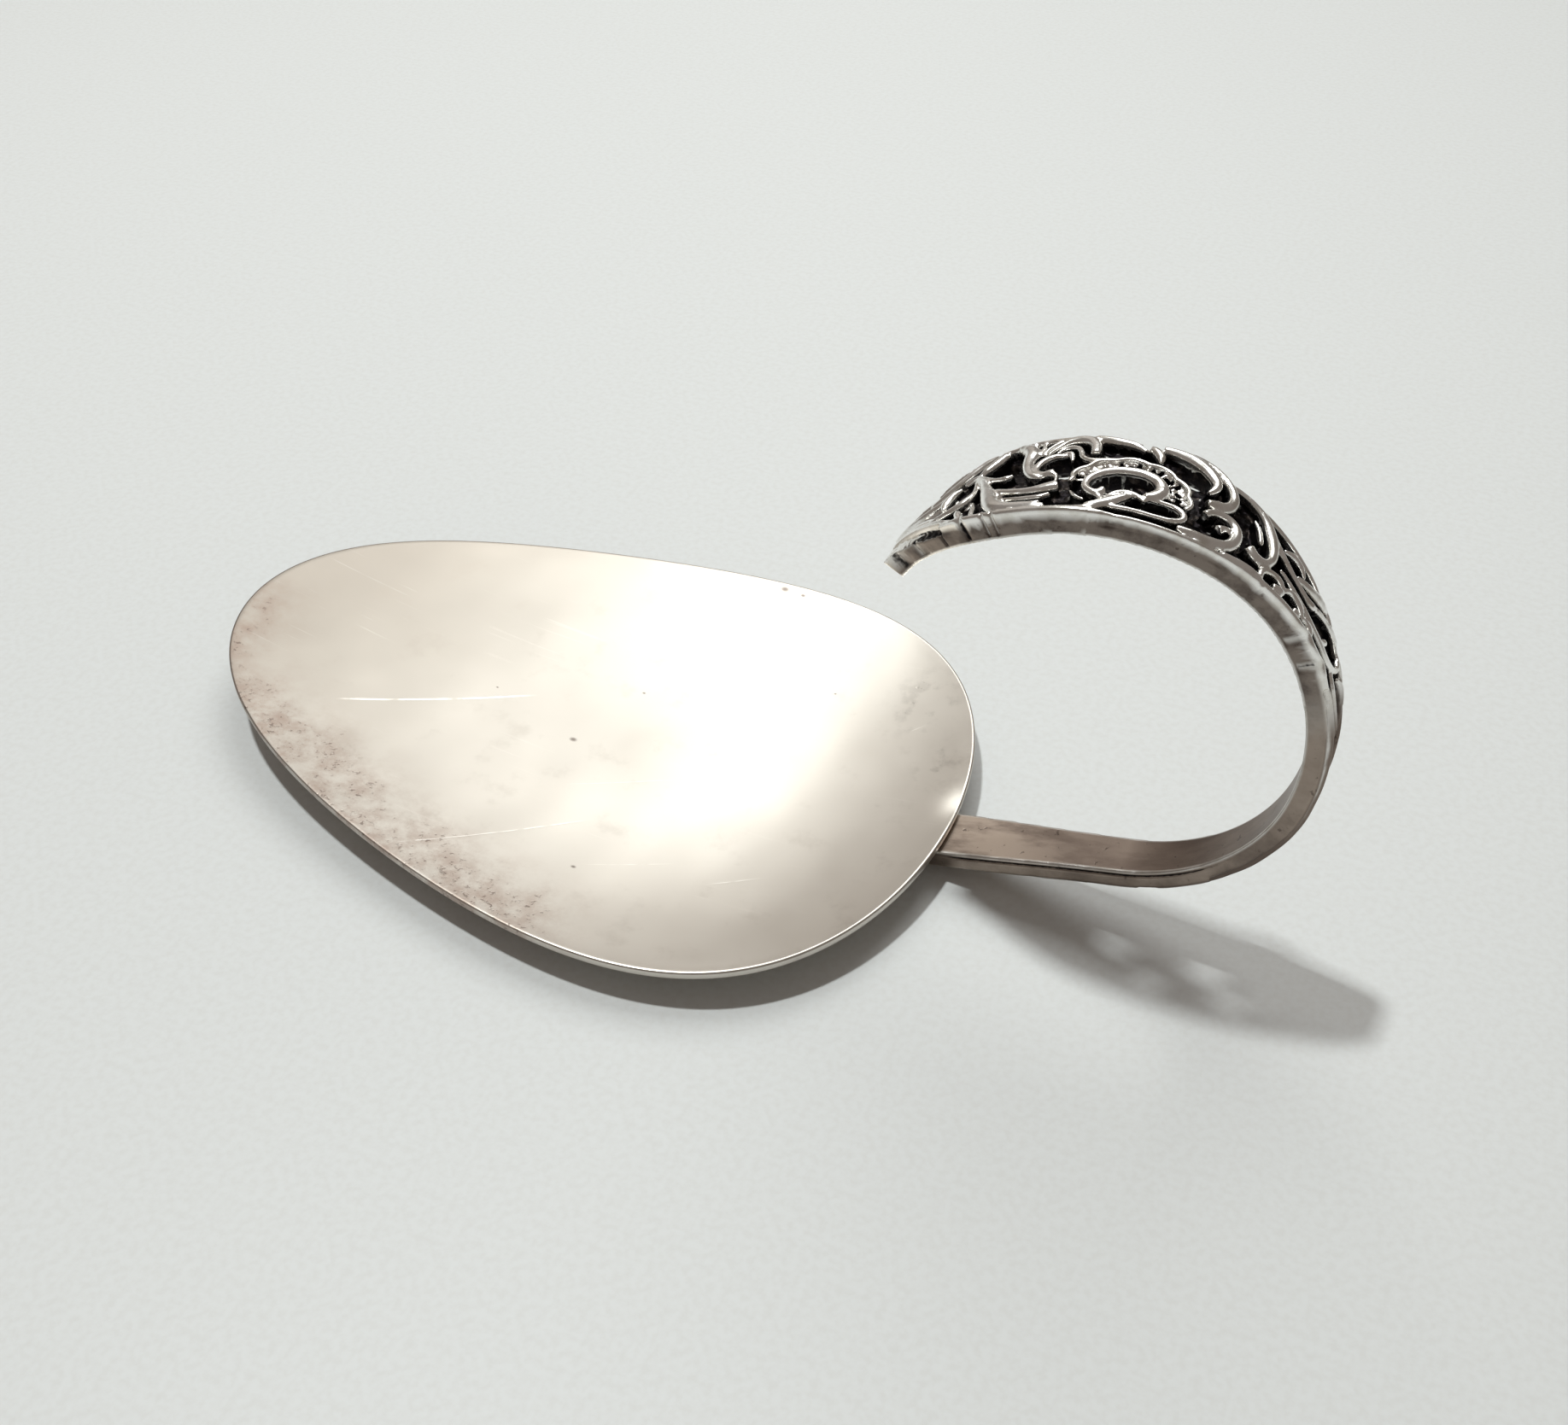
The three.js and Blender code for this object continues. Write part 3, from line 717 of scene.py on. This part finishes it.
def handle_material(settings):
    """Cast sterling, pickled, blackened with sulphide and rubbed back: mirror-soft crests, a black grainy
    ground, and grey-brown worn metal down the stem and the edges, where hands keep the oxide thin. The darker
    grey-brown of the sides and of the head's underside is partly painted shade, where less light falls."""
    material, tree, surface, at = new_material("cast_oxidised_silver")
    cloud, times = tools(tree, at)
    oxide, plain, dull = (attribute(tree, name) for name in ("oxide", "plain", "dull"))
    # the rubbing cloth leaves the oxide's edge ragged at about 0.2 mm
    ragged = maths(tree, "ADD", oxide, times(maths(tree, "SUBTRACT", cloud(3000, 4.0), 0.5), 0.5))
    black = ramp(tree, ragged, 0.34, 0.66)
    crest = blend(tree, ramp(tree, cloud(800, 3.0), 0.42, 0.7), settings.polished, linear("e2dfd8"))
    # smudges lie along the stem, some 4 mm long; small brown spots are scattered over them
    smudge = ramp(tree, cloud(190, 5.0, 0.62, stretch=(1, 2.5, 1), shift=(1, 1, 0)), 0.40, 0.66)
    worn = blend(tree, times(smudge, 0.75), settings.worn, linear("695c54"))
    # the inner face of the stem, towards the loop, is browner; its sides are not
    along = put(tree, "ShaderNodeSeparateXYZ", {0: at}).outputs[0]
    browned = times(ramp(tree, along, 0.022, 0.030), ramp(tree, dull, 0.4, 0.1), 0.75)
    worn = blend(tree, browned, worn, linear("695c54"))
    # the edge silver of the sides and the underside is duller metal, and its darkness is also painted shade
    # where less light falls
    mottle = ramp(tree, cloud(500, 5.0, 0.65, shift=(2, 0, 1)), 0.4, 0.7)
    edge = blend(tree, mottle, settings.edge, linear("5a514c"))
    spots = ramp(tree, cloud(1500, 3.0, 0.6, shift=(3, 0, 1)), 0.63, 0.71)
    tone = blend(tree, plain, crest, worn)
    tone = blend(tree, dull, tone, edge)
    handled = maths(tree, "MAXIMUM", plain, dull)
    tone = blend(tree, times(spots, handled, 0.6), tone, linear("4a3f3a"))
    # the oxide itself is worn to brown-grey in places about half a millimetre across
    thin = ramp(tree, cloud(1500, 4.0, 0.6, shift=(0, 2, 5)), 0.5, 0.72)
    tone = blend(tree, black, tone, blend(tree, thin, settings.oxide, linear("4f4742")))
    rough = maths(tree, "ADD", 0.19, times(cloud(700, 4.0, shift=(0, 4, 0)), 0.1))
    rough = maths(tree, "ADD", rough, times(handled, 0.15))
    rough = maths(tree, "ADD", rough, times(black, 0.2))
    # casting grain, 0.1 mm and finer, strongest on the blackened ground
    height = times(cloud(7000, 3.0, 0.6), maths(tree, "ADD", 0.25, black))
    height = maths(tree, "SUBTRACT", height, times(spots, handled, 0.5))
    finish_surface(tree, surface, tone, rough, height, 0.5, 0.04 * MM)
    return material


def flat_curve(name, lines):
    """A curve object through lines of (s, y, radius) points, with smooth handles."""
    data = bpy.data.curves.new(name, "CURVE")
    data.dimensions = "3D"
    for line in lines:
        spline = data.splines.new("BEZIER")
        spline.bezier_points.add(len(line) - 1)
        spline.resolution_u = 8
        for point, (s, y, radius) in zip(spline.bezier_points, line):
            point.co = (s, y, 0)
            point.radius = radius
            point.handle_left_type = point.handle_right_type = "AUTO"
    return placed(name, data)


def plate_mesh():
    """The handle's plain bar and sunk ground as a flat plate 1 mm thick with its openings."""
    places = np.concatenate([np.arange(-TONGUE, HANDLE_LENGTH, 0.8), [HANDLE_LENGTH]])
    widths = between(HALF_WIDTHS, places)
    far = list(zip(places, widths))
    outline = far + [(s, -w) for s, w in far[::-1]]
    data = bpy.data.curves.new("plate", "CURVE")
    data.dimensions, data.fill_mode, data.extrude = "2D", "BOTH", 0.5
    ovals = []
    for s, y, half, wide, turn in OPENINGS:
        c, d = math.cos(math.radians(turn)), math.sin(math.radians(turn))
        ring = [(half * math.cos(t), wide * math.sin(t)) for t in np.arange(28) / 28 * 2 * math.pi]
        ovals.append([(s + p * c - q * d, y + p * d + q * c) for p, q in ring])
    for line in [outline] + ovals:
        spline = data.splines.new("POLY")
        spline.points.add(len(line) - 1)
        spline.use_cyclic_u = True
        for point, (s, y) in zip(spline.points, line):
            point.co = (s, y, 0, 1)
    item = placed("plate", data)
    mesh = settled(item)
    bpy.data.objects.remove(item)
    return mesh


def coords_of(mesh):
    co = np.empty(len(mesh.vertices) * 3)
    mesh.vertices.foreach_get("co", co)
    return co.reshape(-1, 3)


def normals_of(mesh):
    normals = np.empty(len(mesh.vertices) * 3)
    mesh.vertex_normals.foreach_get("vector", normals)
    return normals.reshape(-1, 3)


def put_coords(mesh, co):
    mesh.vertices.foreach_set("co", np.ascontiguousarray(co, dtype=np.float32).ravel())
    mesh.update()


def soften(mesh, share, times):
    """Relaxes each vertex towards its neighbours' middle, by a share that may differ between vertices."""
    co = coords_of(mesh)
    ends = np.empty(len(mesh.edges) * 2, dtype=np.int64)
    mesh.edges.foreach_get("vertices", ends)
    a, b = ends.reshape(-1, 2).T
    count = np.bincount(a, minlength=len(co)) + np.bincount(b, minlength=len(co))
    share = np.broadcast_to(share, len(co))[:, None]
    for _ in range(times):
        total = np.stack(
            [
                np.bincount(a, co[b, k], minlength=len(co)) + np.bincount(b, co[a, k], minlength=len(co))
                for k in range(3)
            ],
            axis=1,
        )
        co += (total / np.maximum(count, 1)[:, None] - co) * share
    put_coords(mesh, co)


def smooth_step(t):
    t = np.clip(t, 0, 1)
    return t * t * (3 - 2 * t)


def border(side, first, last, inset, radius):
    """A ridge that follows one edge of the handle, thinning out at both ends."""
    line = []
    for s in np.linspace(first, last, 22):
        ease = min(1.0, 0.45 + abs(s - first) / 2.5, 0.45 + abs(s - last) / 2.5)
        line.append((s, side * (float(between(HALF_WIDTHS, s)) - inset), radius * ease))
    return tuple(line)


# The shell round the middle opening: the middle of its rim, its half length and half width; then the same for
# the rows of pearls inside it, which are smaller by the shares.
SHELL = (52.2, -0.5, 3.2, 2.62)
PEARLS, PEARL_SHARES = (52.2, -0.4, 3.2, 2.6), (0.72, 0.86)
SCALLOPS, SCALLOP_DEPTH = 5.5, 0.07  # scallops in half a turn, and their depth as a share


def on_oval(oval, t, share=1.0):
    s, y, long, wide = oval
    return s + long * share * math.cos(t), y + wide * share * math.sin(t)


def shell_rim():
    """The scalloped rim of the shell, as one line of points."""
    line = []
    for i in range(46):
        t = math.radians(-8 + 200 * i / 45)
        scallop = 1 - SCALLOP_DEPTH * (1 - abs(math.sin(SCALLOPS * t)))
        line.append((*on_oval(SHELL, t, scallop), 0.12))
    return line


STEM_END, HEAD_START = 33, 34  # where the stem's smooth skin ends and the head's pebbled ground begins
GROOVE_HEIGHT, GROOVE_DEPTH = 0.36, 0.13  # of the parting line of the mould
CUT_DEPTH = 0.2
TRIANGLES = 180000  # kept in the handle's skin


def fused_mesh(settings, material):
    """The plate, the ridges and the pearls in the flat, fused into one skin."""
    crest, ground = settings.crest / MM, settings.ground / MM
    borders = tuple(border(*edge) for edge in BORDERS)
    shape = {"Step": 0.08, "Crest": crest, "Foot": 0.35, "Spread": settings.spread, "Finish": material}
    ridges = grow(flat_curve("scrolls", SCROLLS + borders + (shell_rim(),)), ridge_tree(), shape)
    turns = np.radians(np.linspace(5, 178, 26))
    rows = [[(*on_oval(PEARLS, t, share), 1) for t in turns] for share in PEARL_SHARES]
    shape = {"Pitch": 0.4, "Pearl": 0.18, "Height": ground + 0.13, "Seed": 11, "Finish": material}
    pearls = grow(flat_curve("pearls", rows), pearl_tree(), shape)
    plate = plate_mesh()
    co = coords_of(plate)
    co[:, 2] = np.where(co[:, 2] > 0, between(BAR, co[:, 0]), 0.0)
    put_coords(plate, co)

    parts = [placed("part", mesh) for mesh in (plate, ridges, pearls)]
    with bpy.context.temp_override(active_object=parts[0], selected_editable_objects=parts):
        bpy.ops.object.join()
    fuse = parts[0].modifiers.new("fuse", "REMESH")
    fuse.mode, fuse.voxel_size = "VOXEL", settings.grain / MM
    return take_settled(parts[0])


def take_settled(item):
    """Gives the object the mesh that its modifiers make, and clears them."""
    mesh = settled(item)
    item.modifiers.clear()
    item.data = mesh
    return item


def noise_over(s, y, fine, across, layer):
    """Smooth noise over the flat drawing, fine and across being waves to the millimetre."""
    return np.array([noise.noise(Vector((p * fine, q * across, layer))) for p, q in zip(s, y)])


def bells(s, places):
    """The sum of rounded steps at (place, half breadth, height)."""
    return sum(height * np.exp(-(((s - place) / wide) ** 2)) for place, wide, height in places)


def carve(settings, mesh):
    """Smooths the skin and works the ground, the parting line and the file cuts into it; returns the points,
    and how black, how plain, and how dull and darkened by painted shade each one is."""
    crest, ground = settings.crest / MM, settings.ground / MM
    soften(mesh, np.where(coords_of(mesh)[:, 0] < HEAD_START, 0.5, 0.32), 3)
    stem = 1 - smooth_step((coords_of(mesh)[:, 0] - STEM_END) / 4)
    soften(mesh, 0.5 * stem, 8)
    co = coords_of(mesh)
    # the ground is pebbled, about 0.3 mm from bump to bump
    s, y, h = co.T
    level = smooth_step((normals_of(mesh)[:, 2] - 0.55) / 0.3)
    low = level * smooth_step((ground + 0.3 - h) / 0.15) * smooth_step((s - HEAD_START) / 3)
    bumps = noise_over(s, y, 3.4, 3.4, 2.0)
    co[:, 2] += 0.09 * bumps * low
    # the parting line of the mould along the sides of the stem, which dies away up the loop
    width = between(HALF_WIDTHS, s)
    fade = smooth_step((s + 1) / 3) * (1 - smooth_step((s - 15) / 9))
    side = smooth_step((width - 0.4 - np.abs(y)) / -0.2)
    groove = np.exp(-(((h - GROOVE_HEIGHT) / 0.09) ** 2)) * side * fade
    co[:, 1] -= np.sign(y) * GROOVE_DEPTH * groove
    # file cuts across the sides near the tip and below the head, and the bar's slight unevenness
    cuts = bells(s, [(place, wide, 1.0) for place, wide, _black in SIDE_CUTS]) * side
    blacks = bells(s, SIDE_CUTS) * side
    co[:, 1] -= np.sign(y) * CUT_DEPTH * cuts * smooth_step((h - 0.1) / 0.2)
    uneven = noise_over(s, y, 0.55, 0.5, 9.0)
    co[:, 2] += 0.05 * uneven * stem * (h > 0.7)
    put_coords(mesh, co)

    normals = normals_of(mesh)
    # flank finds the handle's sides and back its downward faces; both are duller metal and are also painted
    # darker as painted shade
    flank = smooth_step((np.abs(y) - width + 0.3) / 0.2) * smooth_step((crest - 0.3 - h) / 0.4)
    flank *= smooth_step((normals[:, 1] * np.sign(y) - 0.25) / 0.4)
    back = smooth_step((0.2 - h) / 0.15) * smooth_step((-normals[:, 2] - 0.3) / 0.4)
    headward = smooth_step((s - 32.5) / 4)
    # the cloth does not reach down the steep sides of the scrolls, except along the head's edges
    steep = smooth_step((0.5 - normals[:, 2]) / 0.4) * smooth_step((width - 0.45 - np.abs(y)) / 0.2)
    # the pebbles' tops are kept less black: painted glints on the ground's bumps
    glints = 1 - 0.4 * smooth_step((bumps - 0.22) / 0.2)
    deep = smooth_step((crest - 0.36 + 0.2 * steep - h) / 0.26) * glints
    recess = deep * headward * (1 - flank) * (1 - back)
    # the cuts are painted dark through the oxide: painted shade in the notches and on the end facet
    filed = 0.8 * np.clip(blacks, 0, 1) * smooth_step((h - 0.12) / 0.15) * smooth_step((1.5 - h) / 0.15)
    oxide = np.maximum.reduce([recess, filed, 0.75 * np.clip(groove * 1.3, 0, 1)])
    # hands and cloth keep the corners of the bar bright; the polished colour along them is also a painted
    # highlight on the edges
    upper = (1 - headward) * smooth_step((h - between(BAR, s) + 0.2) / 0.12)
    corner = np.clip(smooth_step((0.2 - h) / 0.12) + upper, 0, 1)
    rubbed = smooth_step((np.abs(y) - width + 0.26) / 0.12) * corner
    plain = (1 - headward) * (1 - 0.7 * rubbed)
    dull = np.maximum(flank * (0.45 + 0.55 * headward), 0.6 * back * headward) * (1 - 0.8 * rubbed)
    return co, {"oxide": oxide, "plain": plain, "dull": dull}


def handle_mesh(settings, bowl, name, material):
    item = fused_mesh(settings, material)
    flat, looks = carve(settings, item.data)
    # bend it, then thin the skin where it is smooth; each vertex left keeps the looks of the nearest before
    bent = bend(bowl, flat)
    put_coords(item.data, bent)
    thin = item.modifiers.new("thin", "DECIMATE")
    thin.ratio = min(1.0, TRIANGLES / (2 * len(item.data.polygons)))
    mesh = take_settled(item).data
    item.name = mesh.name = name
    finder = KDTree(len(bent))
    for i, point in enumerate(bent):
        finder.insert(point, i)
    finder.balance()
    nearest = np.array([finder.find(vertex.co)[1] for vertex in mesh.vertices])
    for label, value in looks.items():
        data = mesh.attributes.new(label, "FLOAT", "POINT").data
        data.foreach_set("value", value[nearest].astype(np.float32))
    mesh.materials.clear()
    mesh.materials.append(material)
    mesh.polygons.foreach_set("material_index", np.zeros(len(mesh.polygons), dtype=np.int32))
    mesh.shade_smooth()
    return item


class SPOON_OT_handle(bpy.types.Operator):
    """Build the cast handle: tongue, stem, loop and pierced scroll-work head"""

    bl_idname = "spoon.handle"
    bl_label = "Handle"

    def execute(self, context):
        settings = context.scene.spoon_handle
        item = handle_mesh(settings, context.scene.spoon_bowl, "cast_handle", handle_material(settings))
        ride_and_stand(item, "handle")
        return {"FINISHED"}


# ---------------------------------------------------------------- solder


def solder_material(settings):
    """Hard silver solder, melted in and pickled: duller and greyer than the sheet, with a lumpy skin."""
    material, tree, surface, at = new_material("pickled_silver_solder")
    lumps = put(tree, "ShaderNodeTexNoise", {"Vector": at, "Scale": 1500, "Detail": 4.0}).outputs[0]
    tone = blend(tree, ramp(tree, lumps, 0.4, 0.65), settings.solder, linear("6b635c"))
    rough = maths(tree, "ADD", 0.36, maths(tree, "MULTIPLY", lumps, 0.2))
    finish_surface(tree, surface, tone, rough, lumps, 0.5, 0.05 * MM)
    return material


def solder_mesh(settings, bowl, name, material):
    """A concave fillet round the sides and end of the tongue, with a slightly uneven creep."""
    reach = settings.reach / MM
    side = np.linspace(-0.5, -TONGUE + 0.55, 60)
    tip_s, tip_w = -TONGUE - 0.02, between(HALF_WIDTHS, -TONGUE + 0.1)
    turn = np.linspace(-1, 1, 25)[1:-1]
    line = [(s, -w) for s, w in zip(side, between(HALF_WIDTHS, side))]
    line += [(tip_s, w * tip_w * 0.95) for w in turn]
    line += [(s, w) for s, w in zip(side[::-1], between(HALF_WIDTHS, side[::-1]))]
    line = np.array(line)
    x = bowl.heel / MM + line[:, 0] * math.cos(STEM_RISE)
    y = line[:, 1]
    along = np.gradient(np.stack([x, y], axis=1), axis=0)
    along /= np.linalg.norm(along, axis=1)[:, None]
    out = np.stack([along[:, 1], -along[:, 0]], axis=1)
    middle = bowl.heel / MM - 4
    flip = np.sign(out[:, 0] * (x - middle) + out[:, 1] * y)
    out *= flip[:, None]
    rings = []
    for i in range(len(x)):
        creep = reach * (1 + 0.16 * noise.noise(Vector((x[i] * 1.1, y[i] * 1.1, 5.0))))
        roof = float(under_at(bowl, x[i] * MM, y[i] * MM)) / MM
        drop = min(creep, 0.8 * roof)
        ring = [(0.1, 0.0), (0.1, drop)]
        for t in np.linspace(0.15, 0.9, 5):
            ring.append((0.1 + creep * t, drop * (1 - t) ** 2.2 + 0.03))
        ring.append((0.1 + creep, 0.0))
        points = []
        for d, down in ring:
            px, py = x[i] + out[i, 0] * d, y[i] + out[i, 1] * d
            top = float(under_at(bowl, px * MM, py * MM)) / MM - 0.03
            points.append((px * MM, py * MM, max(0.03, top - down) * MM))
        rings.append(points)
    points = [p for ring in rings for p in ring]
    return mesh_object(name, points, skin_faces(len(rings), len(rings[0])), material)


class SPOON_OT_solder(bpy.types.Operator):
    """Build the fillet of solder round the tongue"""

    bl_idname = "spoon.solder"
    bl_label = "Solder"

    def execute(self, context):
        settings = context.scene.spoon_solder
        item = solder_mesh(settings, context.scene.spoon_bowl, "solder_fillet", solder_material(settings))
        recalculate(item)
        ride_and_stand(item, "solder_seam")
        return {"FINISHED"}


def recalculate(item):
    """Turns all faces outwards."""
    work = bmesh.new()
    work.from_mesh(item.data)
    bmesh.ops.recalc_face_normals(work, faces=work.faces)
    work.to_mesh(item.data)
    work.free()


# ---------------------------------------------------------------- studio


def table_material(settings):
    """Painted board, sprayed matt: pale, cool and even, with a fine orange-peel grain."""
    material, tree, surface, at = new_material("matt_painted_board")
    grain = put(tree, "ShaderNodeTexNoise", {"Vector": at, "Scale": 1900, "Detail": 2.0}).outputs[0]
    tone = blend(tree, ramp(tree, grain, 0.3, 0.8), settings.table, linear("dee0df"))
    finish_surface(tree, surface, tone, 0.5, grain, 0.12, 0.04 * MM, metal=0.0)
    return material


CAMERA_PLACE, CAMERA_AHEAD = (44.57, -82.01, 89.95), (-0.314, 0.676, -0.667)  # millimetres, and a direction


def turned(place, ahead):
    """A place in metres, looking ahead."""
    return Matrix.Translation(place) @ Vector(ahead).to_track_quat("-Z", "Y").to_matrix().to_4x4()


def area_light(name, place, width, height, power, tint):
    """A panel of light that faces the spoon."""
    data = bpy.data.lights.new(name, "AREA")
    data.shape, data.size, data.size_y = "RECTANGLE", width, height
    data.energy, data.color = power, linear(tint)[:3]
    placed(name, data).matrix_world = turned(place, -Vector(place))


class SPOON_OT_studio(bpy.types.Operator):
    """Set the table, the lights and the camera"""

    bl_idname = "spoon.studio"
    bl_label = "Studio"

    def execute(self, context):
        settings = context.scene.spoon_studio
        half = 1.5
        corners = [(-half, -half, 0), (half, -half, 0), (half, half, 0), (-half, half, 0)]
        table = mesh_object("table_top", corners, [(0, 1, 2, 3)], table_material(settings))
        table.data.transform(Matrix.Translation((0, 0, -0.02 * MM)))

        world = bpy.data.worlds.new("soft_room")
        world.use_nodes = True
        room = world.node_tree.nodes["Background"]
        room.inputs["Color"].default_value = linear("f6e8dd")
        room.inputs["Strength"].default_value = settings.room
        context.scene.world = world

        area_light("overhead_lamp", (-0.15, 0.04, 0.58), 0.034, 0.034, settings.key, "fbfffe")
        area_light("softbox_behind", (-0.046, 0.294, 0.401), 0.3, 0.3, settings.soft, "fcfffd")
        area_light("wide_side_panel", (-0.34, 0.41, 0.28), 0.5, 0.4, 0.16, "fff8f0")

        data = bpy.data.cameras.new("view")
        data.lens, data.sensor_width = settings.lens, 36
        data.clip_start, data.clip_end = 0.005, 10
        camera = placed("view", data)
        camera.matrix_world = turned(Vector(CAMERA_PLACE) * MM, CAMERA_AHEAD)
        context.scene.camera = camera
        context.scene.view_settings.view_transform = "Standard"
        return {"FINISHED"}


# ---------------------------------------------------------------- panel and registration


class SPOON_PT_panel(bpy.types.Panel):
    """Sizes and colours of the spoon, and a button for each piece"""

    bl_label = "Silver spoon"
    bl_idname = "SPOON_PT_panel"
    bl_space_type = "VIEW_3D"
    bl_region_type = "UI"
    bl_category = "Spoon"

    def draw(self, context):
        for operator, group in STEPS:
            box = self.layout.box()
            settings = getattr(context.scene, group)
            for key in settings.__annotations__:
                box.prop(settings, key)
            box.operator(operator.bl_idname)


STEPS = (
    (SPOON_OT_bowl, "spoon_bowl"),
    (SPOON_OT_handle, "spoon_handle"),
    (SPOON_OT_solder, "spoon_solder"),
    (SPOON_OT_studio, "spoon_studio"),
)
GROUPS = {
    "spoon_bowl": SpoonBowlSettings,
    "spoon_handle": SpoonHandleSettings,
    "spoon_solder": SpoonSolderSettings,
    "spoon_studio": SpoonStudioSettings,
}


def register():
    for name, group in GROUPS.items():
        bpy.utils.register_class(group)
        setattr(bpy.types.Scene, name, PointerProperty(type=group))
    for operator, _group in STEPS:
        bpy.utils.register_class(operator)
    bpy.utils.register_class(SPOON_PT_panel)


def unregister():
    bpy.utils.unregister_class(SPOON_PT_panel)
    for operator, _group in reversed(STEPS):
        bpy.utils.unregister_class(operator)
    for name, group in GROUPS.items():
        delattr(bpy.types.Scene, name)
        bpy.utils.unregister_class(group)


def main():
    register()
    bpy.ops.spoon.bowl()
    bpy.ops.spoon.handle()
    bpy.ops.spoon.solder()
    bpy.ops.spoon.studio()


if __name__ == "__main__":
    main()
